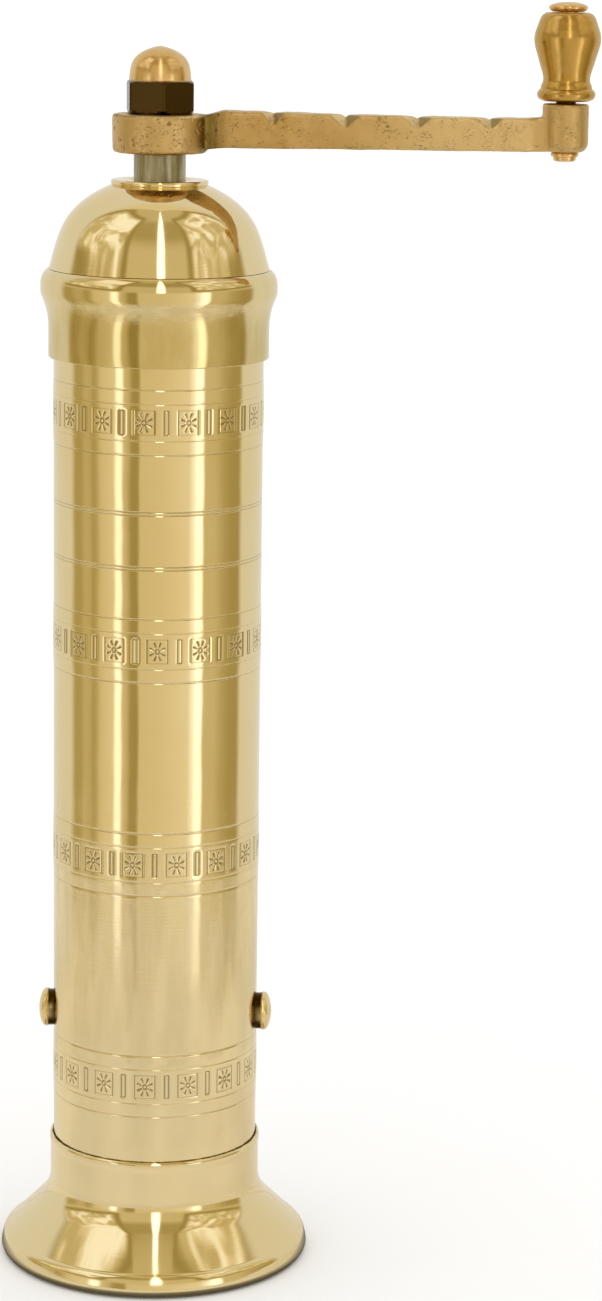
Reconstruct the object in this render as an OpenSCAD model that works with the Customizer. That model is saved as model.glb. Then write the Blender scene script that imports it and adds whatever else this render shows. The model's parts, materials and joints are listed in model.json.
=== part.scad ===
// Hand pepper mill: a brass tube on a flared foot, a domed lid, and a cranked conical burr.
// Origin: on the mill's axis, at the level the foot stands on. The crank arm points along +X.

/* [Body] */
// Outside diameter of the body tube
tube_d = 42; // [38:0.5:52]
// Wall of the body tube
tube_wall = 1; // [0.8:0.1:1.4]
// Length of the body tube
tube_length = 185.5; // [150:0.5:230]
// Height of the tube's lower edge above the table
tube_lift = 13.2; // [12:0.1:18]
// How far a decorated band stands out from the tube
band_raise = 0.1; // [0.05:0.05:0.4]
// Height of a decorated band, between its outer lines
band_height = 12.8; // [10:0.1:16]
// Height of the rosette row, between a band's inner lines
rosette_row = 7.2; // [5:0.2:9]
// Depth of an engraved line
line_depth = 0.25; // [0.1:0.05:0.4]
// Width of an engraved line
line_width = 0.5; // [0.3:0.1:1]
// Distance between the two pairs of engraved lines
pair_gap = 10.9; // [8:0.1:14]

/* [Foot] */
// Outside diameter of the foot's rim
foot_d = 63.8; // [56:0.2:78]
// Height of the foot's rim
rim_h = 3.9; // [3:0.1:6]
// Width of the foot's rim, seen from below
rim_w = 2.7; // [2:0.1:4]
// Sheet thickness of the flare
flare_wall = 1; // [0.8:0.1:1.6]
// Radius of the sweep from the flare into the collar
flare_sweep = 8.4; // [5:0.2:10]
// Wall of the collar round the tube
collar_wall = 0.6; // [0.5:0.05:1.2]
// How far the collar reaches up the tube
collar_grip = 12.1; // [9:0.1:16]

/* [Lid] */
// Wall of the lid's skirt
skirt_wall = 0.95; // [0.7:0.05:1.4]
// How far the skirt reaches down over the tube
skirt_drop = 11.5; // [9:0.1:16]
// How far the bead stands out from the skirt
bead_out = 1.6; // [1:0.1:2.4]
// Height of the lid ring above the tube's top edge
ring_rise = 6.1; // [4:0.1:8]
// Height of the dome above the ring
dome_h = 16.5; // [14:0.5:26]
// Wall of the dome
dome_wall = 0.9; // [0.7:0.05:1.4]
// Diameter of the flat boss on the dome
boss_d = 19.4; // [16:0.2:22]
// Thickness of the flat boss
boss_h = 1.1; // [0.8:0.1:2]
// Length of the guide bush inside the dome
bush_length = 9; // [6:0.5:12]

/* [Crank] */
// Distance from the mill's axis to the knob's axis
crank_radius = 80; // [60:0.1:100]
// Gap between the lid's boss and the crank hub
hub_gap = 5.2; // [3:0.1:8]
// Diameter of the crank hub
hub_d = 18.9; // [17:0.1:24]
// Height of the crank hub
hub_h = 7.7; // [6:0.1:10]
// Height of the crank arm
arm_h = 6.9; // [5:0.1:8]
// Thickness of the arm beside the hub
arm_t_hub = 8.4; // [6:0.2:10]
// Thickness of the arm beside the end boss
arm_t_end = 6.4; // [4:0.2:8]
// How far the arm sags below its root
arm_sag = 0.7; // [0:0.1:2]
// Depth of the arm's notches
notch_depth = 2.7; // [1:0.1:3.5]
// Diameter of the end boss
end_d = 9.2; // [7.5:0.1:12]
// Height of the end boss
end_h = 9.5; // [8:0.1:12]
// Width of the acorn nut across its flats
nut_af = 12.7; // [12:0.1:14]
// Height of the acorn nut's hexagon
nut_hex_h = 6.6; // [5:0.1:8]
// Height of the acorn nut's dome
nut_dome_h = 6.6; // [6:0.1:9]
// How far the acorn nut stands turned from the arm, in degrees
nut_turn = 7.7; // [0:0.1:30]

/* [Knob] */
// Largest diameter of the knob
knob_d = 13.2; // [11:0.1:16]
// Length of the knob
knob_length = 17.2; // [14:0.1:26]
// Diameter of the knob's waist
waist_d = 9.3; // [7.5:0.1:10.5]
// Diameter of the knob's foot bead
knob_bead_d = 11.5; // [10:0.1:13]
// Diameter of the pin
pin_d = 4; // [3:0.1:4.5]
// Diameter of the pin's button head
pin_head_d = 7.7; // [6:0.1:9]
// Height of the pin's button head
pin_head_h = 1.9; // [1.2:0.1:3]
// Diameter of the riveted tail of the pin
pin_tail_d = 5.5; // [5:0.1:6.5]

/* [Shaft] */
// Diameter of the shaft
shaft_d = 10.34; // [9.5:0.02:11]
// Width of the square on the shaft that drives the crank
square_w = 8; // [7.6:0.1:8.4]
// Diameter of the shaft's threaded ends
thread_d = 8; // [7:0.1:8]

/* [Grinder] */
// Height of the side screws above the table
screw_z = 51.4; // [48:0.2:60]
// Diameter of a side screw's head
screw_head_d = 7.9; // [6:0.1:9]
// How far a side screw's head stands out from the tube
screw_head_out = 3.1; // [2:0.1:4]
// How far the side screws stand turned from the arm, in degrees
screw_turn = -1; // [-15:1:15]
// Height of the spider's rim
spider_h = 12; // [10:0.5:16]
// Height of the outer burr
burr_h = 16; // [12:0.5:20]
// Diameter of the outer burr's mouth
mouth_d = 32; // [28:0.5:34]
// Diameter of the outer burr at its lower edge
burr_exit_d = 29.2; // [26:0.2:31]
// Gap between the burrs, measured across the axis
burr_gap = 0.4; // [0.3:0.05:0.8]
// Number of teeth in each burr
teeth = 10; // [6:1:16]
// Diameter of the adjusting screw
adjuster_d = 6; // [5:0.5:7]
// Diameter of the adjusting screw's thumb head
thumb_d = 16; // [12:0.5:20]
// Diameter of the thrust ball
ball_d = 4.8; // [4:0.1:6]
// Diameter of the spring's wire
wire_d = 1.2; // [0.8:0.1:1.4]
// Number of turns of the spring
spring_turns = 3; // [2:1:4]

/* [Fits] */
// Clearance of a shaft or a pin that turns in its hole
running = 0.08; // [0.03:0.01:0.1]
// Clearance of parts that are screwed or pushed together
seat = 0.05; // [0.02:0.01:0.1]
// Clearance of the lid's skirt round the tube
lid_slip = 0.1; // [0.05:0.01:0.2]

/* [Hidden] */
$fn = 96;

polished = [0.86, 0.77, 0.55];
cast = [0.76, 0.58, 0.3];
steel = [0.55, 0.56, 0.52];

// Tube and its bands
tube_r = tube_d / 2;
bore_r = tube_r - tube_wall;
tube_top = tube_lift + tube_length;
collar_top = tube_lift + collar_grip;
skirt_z = tube_top - skirt_drop;
band_low = collar_top + 16;
band_high = skirt_z - 10.6;
band_shares = [0, 0.342, 0.664, 1];
band_levels = [for (share = band_shares) band_low + share * (band_high - band_low)];
pair_pitch = 0.62;
pair_high = band_levels[3] - 18;
pair_levels = [pair_high - pair_gap, pair_high];

// Lid
skirt_r = tube_r + lid_slip + skirt_wall;
bead_r = skirt_r + bead_out;
ring_top = tube_top + ring_rise;
ledge_r = bore_r - 0.1;
dome_r = skirt_r - 0.1;
dome_top = ring_top + dome_h;
boss_top = dome_top + boss_h;
barrel_r = 7;

// Crank
hub_z = boss_top + hub_gap;
hub_top = hub_z + hub_h;
nut_top = hub_top + nut_hex_h + nut_dome_h;
end_z = hub_z + 1.2;
end_top = end_z + end_h;
arm_root_z = hub_z + 1.4;
arm_from = 0.8 * hub_d / 2;
notch_count = 4;
notch_pitch = (crank_radius - 37.4) / (notch_count - 1);
notch_first = 22.4;
notch_half_widths = [2.4, 3.6, 3.8, 3.6];

// Knob
knob_z = end_top + 0.5;
knob_top = knob_z + knob_length;
pin_head_z = knob_top + 0.15;
pin_tail_h = 1.8;

// Grinding cartridge
side_shank_r = 2;
side_head_z = tube_r - 0.4;
spider_top = screw_z + 4;
spider_z = spider_top - spider_h;
spider_bar_h = 6;
cartridge_r = bore_r - seat;
burr_z = spider_z - burr_h;
mouth_r = mouth_d / 2;
exit_r = burr_exit_d / 2;
taper = 0.25;
fine_h = 8;
throat_r = exit_r - taper * fine_h;
cone_z = burr_z + 0.5;
cone_h = 13.5;
cone_top = cone_z + cone_h;
cone_neck_r = 7.6;
burr_nut_h = 4;
burr_nut_af = 13;
shaft_tip = cone_z - burr_nut_h - 3.35;
ball_r = ball_d / 2;
ball_z = shaft_tip;
adjuster_tip = ball_z - ball_r - seat;
bridge_top = shaft_tip - 2.15;
bridge_bar_h = 5.5;
bridge_z = bridge_top - bridge_bar_h;
bridge_w = 9;
leg_in = 15;
leg_out = cartridge_r - 0.35;
tie_place = 17.6;
tie_d = 2.5;
tie_head_d = 4.3;
tie_head_h = 1.8;
lock_nut_af = 10;
lock_nut_h = 4;
thumb_h = 5;
thumb_z = bridge_z - lock_nut_h - 1.2 - thumb_h;
spring_low = cone_top + 0.8;
spring_high = spider_top - spider_bar_h;
spring_r = shaft_d / 2 + 0.45 + wire_d / 2;

// Radius of a crowned outline at share u of its height: straight at first, then rounding over
function crown(u, lean, bulge) = 1 - lean * u - (1 - lean) * pow(u, bulge);

// Points of an arc, centre (cx, cz), from angle a0 to angle a1
function arc(cx, cz, r, a0, a1, steps = 8) =
    [for (i = [0:steps]) let (a = a0 + (a1 - a0) * i / steps) [cx + r * cos(a), cz + r * sin(a)]];

// Points of a smooth line through p1 and p2, with p0 and p3 as its neighbours
function bend(p0, p1, p2, p3, t) =
    0.5 * (2 * p1 + t * (p2 - p0) + t * t * (2 * p0 - 5 * p1 + 4 * p2 - p3)
           + t * t * t * (3 * p1 - p0 - 3 * p2 + p3));
function smooth(points, steps = 6) =
    [for (i = [1:len(points) - 3], k = [0:steps - 1])
        bend(points[i - 1], points[i], points[i + 1], points[i + 2], k / steps)];

// Points of one engraved line at height z in a wall of radius r
function groove(r, z) =
    [[r, z - line_width / 2], [r - line_depth, z], [r, z + line_width / 2]];

// Points of one decorated band: two outer lines, two inner lines, and the raised face between
function band(z) =
    let (face = tube_r + band_raise, edge = line_width)
    concat(groove(tube_r, z - band_height / 2),
           [[tube_r, z - band_height / 2 + edge], [face, z - band_height / 2 + 2 * edge]],
           groove(face, z - rosette_row / 2),
           groove(face, z + rosette_row / 2),
           [[face, z + band_height / 2 - 2 * edge], [tube_r, z + band_height / 2 - edge]],
           groove(tube_r, z + band_height / 2));

// Points of two engraved lines close together
function line_pair(z) = concat(groove(tube_r, z - pair_pitch / 2), groove(tube_r, z + pair_pitch / 2));

module bar_hole(d, z, h) {
    translate([0, 0, z]) cylinder(d = d, h = h);
}

module hexagon(af, z, h) {
    translate([0, 0, z]) cylinder(d = af / cos(30), h = h, $fn = 6);
}

// Places its children at a side screw, with the screw's axis along +Z and the tube's axis at z = 0
module at_side(turn) {
    rotate([0, 0, turn]) translate([0, 0, screw_z]) rotate([0, 90, 0]) children();
}

module both_sides() {
    at_side(screw_turn) children();
    at_side(screw_turn + 180) children();
}

module body_tube() {
    outline = concat(
        [[bore_r, tube_lift], [tube_r, tube_lift]],
        band(band_levels[0]), band(band_levels[1]), band(band_levels[2]),
        line_pair(pair_levels[0]), line_pair(pair_levels[1]),
        band(band_levels[3]),
        [[tube_r, tube_top], [bore_r, tube_top]]);
    color(polished) difference() {
        rotate_extrude() polygon(outline);
        both_sides() {
            cylinder(r = side_shank_r + seat, h = tube_d);
            translate([0, 0, side_head_z - seat]) cylinder(d = screw_head_d + 2 * seat, h = tube_d);
        }
    }
}

module foot() {
    foot_r = foot_d / 2;
    collar_r = tube_r + seat + collar_wall;
    shoulder = [foot_r - 1.75, rim_h + 1];
    sweep_end = shoulder[0] + shoulder[1] - collar_r - flare_sweep * (1 - cos(45));
    inner_sum = shoulder[0] + shoulder[1] - flare_wall / cos(45);
    rim_in = foot_r - rim_w;
    outline = concat(
        arc(foot_r - 1.3, 1.3, 1.3, -90, 0),
        [[foot_r - 0.55, rim_h - 0.1], [foot_r - 0.95, rim_h + 0.5], shoulder],
        arc(collar_r + flare_sweep, sweep_end + flare_sweep * sin(45), flare_sweep, 225, 180, 12),
        [[collar_r, collar_top - 2.2], [collar_r + 0.15, collar_top - 1.4],
         [collar_r + 0.1, collar_top - 0.4], [collar_r - 0.25, collar_top],
         [tube_r + seat, collar_top], [tube_r + seat, inner_sum - tube_r - seat],
         [rim_in, inner_sum - rim_in], [rim_in, 0]]);
    color(polished) rotate_extrude() polygon(outline);
}

// Side screw: shank in the spider's rim, and a domed head seated in a shallow spot face
module side_screw() {
    head_r = screw_head_d / 2;
    band_end = tube_r + 0.35 * screw_head_out;
    outline = concat(
        [[0, mouth_r + 0.4], [side_shank_r, mouth_r + 0.4], [side_shank_r, side_head_z],
         [head_r, side_head_z], [head_r, band_end]],
        [for (i = [1:7]) let (u = i / 8)
            [head_r * crown(u, 0, 2.6), band_end + u * (tube_r + screw_head_out - band_end)]],
        [[0, tube_r + screw_head_out]]);
    color(cast) rotate_extrude() polygon(outline);
}

module side_screw_right() {
    at_side(screw_turn) side_screw();
}

module side_screw_left() {
    at_side(screw_turn + 180) side_screw();
}

// Places its children at the two tie screws, which stand before and behind the axis
module at_tie(side) {
    translate([0, side * tie_place, 0]) children();
}

module guide_spider() {
    hub_r = 8.2;
    color(steel) difference() {
        union() {
            translate([0, 0, spider_z]) difference() {
                cylinder(r = cartridge_r, h = spider_h);
                translate([0, 0, -1]) cylinder(r = mouth_r, h = spider_h + 2);
            }
            translate([0, 0, spring_high]) cylinder(r = hub_r, h = spider_bar_h);
            translate([-2, -mouth_r - 1, spring_high]) cube([4, 2 * mouth_r + 2, spider_bar_h]);
        }
        bar_hole(shaft_d + 2 * running, spider_z - 1, spider_h + 2);
        both_sides() cylinder(r = side_shank_r + seat, h = tube_r);
        for (side = [-1, 1]) at_tie(side) bar_hole(tie_d + 2 * seat, spider_z - 1, spider_h + 2);
    }
}

module burr_ring() {
    outline = [[exit_r, burr_z], [cartridge_r, burr_z], [cartridge_r, spider_z],
               [mouth_r, spider_z], [throat_r, burr_z + fine_h]];
    color(steel) difference() {
        rotate_extrude() polygon(outline);
        for (i = [1:teeth]) rotate([0, 0, (i + 0.5) * 360 / teeth])
            translate([throat_r, 0, burr_z + fine_h - 1])
                rotate([0, atan2(mouth_r - throat_r, burr_h - fine_h), 0])
                    cylinder(r = 0.9, h = 2 * burr_h);
        for (side = [-1, 1]) at_tie(side) bar_hole(tie_d + 2 * seat, burr_z - 1, burr_h + 2);
    }
}

module bearing_bridge() {
    outline = [[-leg_out, bridge_z], [leg_out, bridge_z], [leg_out, burr_z], [leg_in, burr_z],
               [leg_in, bridge_top + 2], [leg_in - 2, bridge_top],
               [2 - leg_in, bridge_top], [-leg_in, bridge_top + 2],
               [-leg_in, burr_z], [-leg_out, burr_z]];
    color(steel) difference() {
        intersection() {
            rotate([90, 0, 90]) translate([0, 0, -bridge_w / 2])
                linear_extrude(bridge_w) polygon(outline);
            bar_hole(2 * cartridge_r, bridge_z - 1, burr_h + burr_z);
        }
        bar_hole(adjuster_d + 2 * running, bridge_z - 1, bridge_bar_h + 2);
        for (side = [-1, 1]) at_tie(side) bar_hole(tie_d + 2 * seat, bridge_z + 3, burr_z);
    }
}

module tie_screw(side) {
    color(steel) at_tie(side) {
        bar_hole(tie_d, bridge_z + 3.5, spider_top - bridge_z - 3.5);
        difference() {
            bar_hole(tie_head_d, spider_top, tie_head_h);
            translate([-tie_head_d, -0.35, spider_top + tie_head_h - 0.8])
                cube([2 * tie_head_d, 0.7, 1]);
        }
    }
}

module tie_screw_front() {
    tie_screw(-1);
}

module tie_screw_back() {
    tie_screw(1);
}

module lock_nut() {
    color(steel) difference() {
        hexagon(lock_nut_af, bridge_z - lock_nut_h, lock_nut_h);
        bar_hole(adjuster_d + 2 * running, bridge_z - lock_nut_h - 1, lock_nut_h + 2);
    }
}

module adjusting_screw() {
    flutes = 16;
    color(cast) {
        difference() {
            bar_hole(thumb_d, thumb_z, thumb_h);
            for (i = [1:flutes]) rotate([0, 0, i * 360 / flutes])
                translate([thumb_d / 2 + 0.5, 0, thumb_z - 1]) cylinder(r = 1.1, h = thumb_h + 2);
            translate([-thumb_d, -0.6, thumb_z - 1]) cube([2 * thumb_d, 1.2, 2.5]);
        }
        bar_hole(adjuster_d, thumb_z + thumb_h, adjuster_tip - thumb_z - thumb_h);
    }
}

module thrust_ball() {
    color(steel) translate([0, 0, ball_z]) sphere(r = ball_r);
}

// Stack of closed turns that stands for the wound spring
module pressure_spring() {
    pitch = (spring_high - spring_low - wire_d - 0.1) / (spring_turns - 1);
    color(steel) for (i = [0:spring_turns - 1])
        translate([0, 0, spring_low + 0.05 + wire_d / 2 + i * pitch])
            rotate_extrude() translate([spring_r, 0]) circle(d = wire_d, $fn = 24);
}

module spring_seat() {
    color(steel) difference() {
        bar_hole(2 * spring_r + wire_d + 1.6, cone_top, spring_low - cone_top);
        bar_hole(shaft_d + 2 * seat, cone_top - 1, 3);
    }
}

module inner_burr() {
    low_r = exit_r - taper * (cone_z - burr_z) - burr_gap;
    fine_top_r = low_r - taper * (fine_h - 0.5);
    outline = [[0, cone_z], [low_r, cone_z], [fine_top_r, cone_z + fine_h - 0.5],
               [cone_neck_r, cone_top - 1], [cone_neck_r, cone_top], [0, cone_top]];
    color(steel) difference() {
        rotate_extrude() polygon(outline);
        bar_hole(thread_d + 2 * seat, cone_z - 1, cone_h + 2);
        for (i = [1:teeth]) rotate([0, 0, i * 360 / teeth])
            translate([fine_top_r + 0.2, 0, cone_z + fine_h - 2])
                rotate([0, -atan2(fine_top_r - cone_neck_r, cone_h - fine_h), 0])
                    cylinder(r = 0.9, h = cone_h);
    }
}

module burr_nut() {
    color(steel) difference() {
        hexagon(burr_nut_af, cone_z - burr_nut_h, burr_nut_h);
        bar_hole(thread_d + 2 * seat, cone_z - burr_nut_h - 1, burr_nut_h + 2);
    }
}

module main_shaft() {
    tip_r = ball_r + 1;
    square_top = hub_top - 0.6;
    stud_top = nut_top - 5;
    color(steel) difference() {
        union() {
            bar_hole(2 * tip_r, shaft_tip, cone_z - burr_nut_h - shaft_tip);
            bar_hole(thread_d, cone_z - burr_nut_h, cone_top - cone_z + burr_nut_h);
            bar_hole(shaft_d, cone_top, hub_z - cone_top);
            intersection() {
                bar_hole(shaft_d, hub_z, square_top - hub_z);
                translate([-square_w / 2, -square_w / 2, hub_z])
                    cube([square_w, square_w, square_top - hub_z]);
            }
            bar_hole(thread_d - 0.1, square_top, stud_top - square_top);
        }
        bar_hole(2 * (ball_r + seat), shaft_tip - 1, 1 + ball_r + seat);
    }
}

module lid_ring() {
    sweep = 14.5;
    sweep_low = skirt_z + 6;
    sweep_turn = acos(1 - (bead_out - 0.35) / sweep);
    sweep_top = sweep_low + sweep * sin(sweep_turn);
    bore = tube_r + lid_slip;
    outline = concat(
        [[bore, skirt_z], [skirt_r - 0.2, skirt_z], [skirt_r, skirt_z + 0.2]],
        arc(skirt_r + sweep, sweep_low, -sweep, 0, -sweep_turn, 10),
        [[bead_r, sweep_top + 1]],
        arc(bead_r - 2.1, ring_top - 2.3, 2.1, 0, 70, 8),
        [[dome_r, ring_top], [ledge_r, ring_top], [ledge_r, tube_top], [bore, tube_top]]);
    color(polished) rotate_extrude() polygon(outline);
}

module lid_dome() {
    steps = 24;
    boss_r = boss_d / 2;
    inner_r = dome_r - dome_wall;
    hole_r = barrel_r + seat;
    outline = concat(
        [for (i = [0:steps]) let (u = i / steps)
            [boss_r + (dome_r - boss_r) * crown(u, 0.36, 4.2), ring_top + u * dome_h]],
        [[hole_r, dome_top]],
        [for (i = [steps:-1:0]) let (u = i / steps)
            [hole_r + (inner_r - hole_r) * crown(u, 0.3, 4), ring_top + u * (dome_h - dome_wall)]]);
    color(polished) rotate_extrude() polygon(outline);
}

module lid_bush() {
    boss_r = boss_d / 2;
    bore = shaft_d / 2 + running;
    outline = concat(
        [[bore, dome_top - bush_length], [barrel_r, dome_top - bush_length], [barrel_r, dome_top]],
        [[boss_r - 0.2, dome_top], [boss_r, dome_top + 0.2]],
        arc(boss_r - 0.5, boss_top - 0.5, 0.5, 0, 90, 5),
        [[bore + 0.5, boss_top], [bore, boss_top - 0.5]]);
    color(polished) rotate_extrude() polygon(outline);
}

// One notch: two wedges that run down and out to the arm's front and back faces
module notch(x, z, half) {
    fall = atan2(notch_depth - 0.4, arm_t_hub / 2);
    for (side = [0, 180]) translate([x, 0, z]) rotate([0, 0, side]) rotate([90 + fall, 0, 0])
        translate([0, 0, -0.5]) linear_extrude(arm_t_hub)
            polygon([[0, -0.4], [1.4 * half, 1.4 * notch_depth - 0.4],
                     [-1.4 * half, 1.4 * notch_depth - 0.4]]);
}

module crank_arm() {
    span = crank_radius - arm_from;
    root_top = arm_root_z + arm_h + 0.2;
    side_view = concat(
        [[arm_from, hub_z + 0.6], [arm_from + 5, arm_root_z - 0.1]],
        [for (i = [1:8]) let (u = i / 8)
            [arm_from + 5 + u * (span - 5), max(end_z + 0.1, arm_root_z - arm_sag * sin(112 * u))]],
        [[crank_radius, end_z + arm_h + 0.1]],
        [for (i = [7:-1:1]) let (u = i / 8)
            [arm_from + 5 + u * (span - 5), root_top - arm_sag * sin(112 * u)]],
        [[arm_from + 5, root_top], [arm_from + 2, hub_top], [arm_from, hub_top - 0.3]]);
    half_view = [[arm_from - 2, 3], [hub_d / 2 + 0.2, 3.1], [hub_d / 2 + 1.3, 3.5],
                 [hub_d / 2 + 2.3, arm_t_hub / 2 - 0.2], [hub_d / 2 + 3.6, arm_t_hub / 2],
                 [crank_radius - end_d / 2 - 3, arm_t_end / 2],
                 [crank_radius - end_d / 2 - 1, arm_t_end / 2 - 0.6], [crank_radius, arm_t_end / 2 - 0.7]];
    plan = concat(half_view, [for (i = [len(half_view) - 1:-1:0]) [half_view[i][0], -half_view[i][1]]]);
    color(cast) difference() {
        union() {
            difference() {
                intersection() {
                    rotate([90, 0, 0]) translate([0, 0, -arm_t_hub]) linear_extrude(2 * arm_t_hub)
                        polygon(side_view);
                    translate([0, 0, hub_z - 5]) linear_extrude(hub_h + 20) polygon(plan);
                }
                for (i = [0:notch_count - 1]) let (x = notch_first + i * notch_pitch)
                    notch(x, root_top - arm_sag * sin(112 * (x - arm_from - 5) / (span - 5)),
                          notch_half_widths[i]);
            }
            rotate_extrude() polygon(concat([[0, hub_z]], arc(hub_d / 2 - 1, hub_z + 1, 1, -90, 0, 5),
                                            arc(hub_d / 2 - 0.7, hub_top - 0.7, 0.7, 0, 90, 4),
                                            [[0, hub_top]]));
            translate([crank_radius, 0, 0]) rotate_extrude()
                polygon(concat([[0, end_z]], arc(end_d / 2 - 1.9, end_z + 1.9, 1.9, -90, 0, 6),
                               arc(end_d / 2 - 0.3, end_top - 0.3, 0.3, 0, 90, 3), [[0, end_top]]));
        }
        translate([-square_w / 2 - seat, -square_w / 2 - seat, hub_z - 1])
            cube([square_w + 2 * seat, square_w + 2 * seat, hub_h + 2]);
        translate([crank_radius, 0, 0]) bar_hole(pin_d + 2 * seat, end_z - 1, end_h + 2);
    }
}

module knob_pin() {
    head_r = pin_head_d / 2;
    color(cast) translate([crank_radius, 0, 0]) {
        bar_hole(pin_d, end_z, pin_head_z - end_z);
        bar_hole(pin_tail_d, end_z - pin_tail_h / 2, pin_tail_h / 2);
        bar_hole(0.82 * pin_tail_d, end_z - pin_tail_h, pin_tail_h / 2);
        rotate_extrude() polygon(concat(
            [[0, pin_head_z], [head_r - 0.7, pin_head_z], [head_r, pin_head_z + 0.6],
             [head_r, pin_head_z + 0.9]],
            [for (i = [1:5]) let (u = i / 6)
                [head_r * crown(u, 0, 2.4), pin_head_z + 0.9 + u * (pin_head_h - 0.9)]],
            [[0, pin_head_z + pin_head_h]]));
    }
}

module acorn_nut() {
    steps = 14;
    dome_base_r = nut_af / 2 - 0.2;
    corner_r = nut_af / 2 / cos(30);
    outline = concat(
        [[0, hub_top], [nut_af / 2 - 0.1, hub_top], [corner_r + 0.05, hub_top + 0.8],
         [corner_r + 0.05, hub_top + nut_hex_h - 0.7], [dome_base_r, hub_top + nut_hex_h]],
        [for (i = [1:steps - 1]) let (u = i / steps)
            [dome_base_r * crown(u, 0.16, 5), hub_top + nut_hex_h + u * nut_dome_h]],
        [[0, nut_top]]);
    color(cast) difference() {
        intersection() {
            rotate_extrude() polygon(outline);
            union() {
                rotate([0, 0, nut_turn - 90]) hexagon(nut_af, hub_top, nut_hex_h);
                bar_hole(2 * dome_base_r, hub_top, nut_hex_h + nut_dome_h);
            }
        }
        bar_hole(thread_d, hub_top - 1, nut_top - 4.5 - hub_top + 1);
    }
}

module crank_knob() {
    waist_r = waist_d / 2;
    belly_r = knob_d / 2;
    lift = knob_length / 17;
    foot_r = knob_bead_d / 2;
    pear = smooth([[foot_r, knob_z + 1.5], [waist_r + 0.35, knob_z + 3 * lift],
                   [waist_r, knob_z + 4.6 * lift], [(waist_r + belly_r) / 2, knob_z + 8 * lift],
                   [belly_r, knob_z + 11.7 * lift], [belly_r - 0.6, knob_z + 14.6 * lift],
                   [belly_r - 2.1, knob_top - 0.1], [0, knob_top]], 5);
    outline = concat(
        [[0, knob_z], [foot_r - 1, knob_z]],
        arc(foot_r - 1.2, knob_z + 1.3, 1.2, -70, 60, 8),
        pear, [[belly_r - 2.15, knob_top], [0, knob_top]]);
    color(cast) translate([crank_radius, 0, 0]) difference() {
        rotate_extrude() polygon(outline);
        bar_hole(pin_d + 2 * running, knob_z - 1, knob_length + 2);
    }
}

body_tube();
foot();
side_screw_right();
side_screw_left();
guide_spider();
burr_ring();
bearing_bridge();
tie_screw_front();
tie_screw_back();
lock_nut();
adjusting_screw();
thrust_ball();
pressure_spring();
spring_seat();
inner_burr();
burr_nut();
main_shaft();
lid_ring();
lid_dome();
lid_bush();
crank_arm();
knob_pin();
acorn_nut();
crank_knob();
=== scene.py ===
"""Hand pepper mill: the visible pieces and a small studio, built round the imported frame."""

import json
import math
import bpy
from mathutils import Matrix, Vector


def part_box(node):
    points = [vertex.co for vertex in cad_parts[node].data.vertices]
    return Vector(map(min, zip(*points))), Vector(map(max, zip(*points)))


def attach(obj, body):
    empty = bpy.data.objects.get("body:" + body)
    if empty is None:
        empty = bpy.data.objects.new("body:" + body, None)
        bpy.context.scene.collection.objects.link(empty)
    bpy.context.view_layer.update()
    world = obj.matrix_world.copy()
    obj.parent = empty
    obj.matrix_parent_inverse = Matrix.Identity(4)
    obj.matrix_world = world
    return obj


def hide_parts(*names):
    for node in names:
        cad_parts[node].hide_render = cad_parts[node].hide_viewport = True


bl_info = {
    "name": "Hand Pepper Mill",
    "version": (1, 0, 0),
    "blender": (4, 5, 0),
    "location": "3D View > Sidebar > Mill",
    "description": "Builds a brass hand pepper mill with a side crank, and a studio round it",
    "category": "Object",
}

import bmesh
import bpy
from mathutils import Euler, Matrix, Vector, noise

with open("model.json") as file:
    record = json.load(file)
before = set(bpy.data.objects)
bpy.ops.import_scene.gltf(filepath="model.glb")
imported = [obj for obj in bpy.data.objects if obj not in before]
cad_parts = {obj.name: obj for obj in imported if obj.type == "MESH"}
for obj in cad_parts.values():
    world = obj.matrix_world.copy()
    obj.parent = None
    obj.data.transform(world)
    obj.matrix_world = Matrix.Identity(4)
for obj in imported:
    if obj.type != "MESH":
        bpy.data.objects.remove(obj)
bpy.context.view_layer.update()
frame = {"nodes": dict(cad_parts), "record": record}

MM = 0.001


# -------------------- sizes from the frame, in millimetres


def span(node):
    """Lowest and highest corner of a CAD node, in millimetres."""
    low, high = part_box(node)
    return [c / MM for c in low], [c / MM for c in high]


TUBE_LOW, TUBE_HIGH = span("body_tube")
FOOT_LOW, FOOT_HIGH = span("foot")
RING_LOW, RING_HIGH = span("lid_ring")
DOME_LOW, DOME_HIGH = span("lid_dome")
BUSH_LOW, BUSH_HIGH = span("lid_bush")
SHAFT_LOW, SHAFT_HIGH = span("main_shaft")
ARM_LOW, ARM_HIGH = span("crank_arm")
NUT_LOW, NUT_HIGH = span("acorn_nut")
PIN_LOW, PIN_HIGH = span("knob_pin")
KNOB_LOW, KNOB_HIGH = span("crank_knob")
SPRING_LOW, SPRING_HIGH = span("pressure_spring")
CRANK_RADIUS = (PIN_LOW[0] + PIN_HIGH[0]) / 2
# How far the tube's bands stand out in the CAD, and the radius between them
BAND_RAISE = 0.1
TUBE_R = TUBE_HIGH[0] - BAND_RAISE
# Pitch of the threads at both ends of the shaft
THREAD_PITCH = 1.25


# -------------------- outlines


def arc(cx, cz, r, start, end, steps=8):
    """Points of an arc round (cx, cz), with its angles in degrees."""
    points = []
    for i in range(steps + 1):
        a = math.radians(start + (end - start) * i / steps)
        points.append((cx + r * math.cos(a), cz + r * math.sin(a)))
    return points


def crown(u, lean, bulge):
    """Share of the radius left at share u of a crowned outline's height."""
    return 1 - lean * u - (1 - lean) * u**bulge


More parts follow.
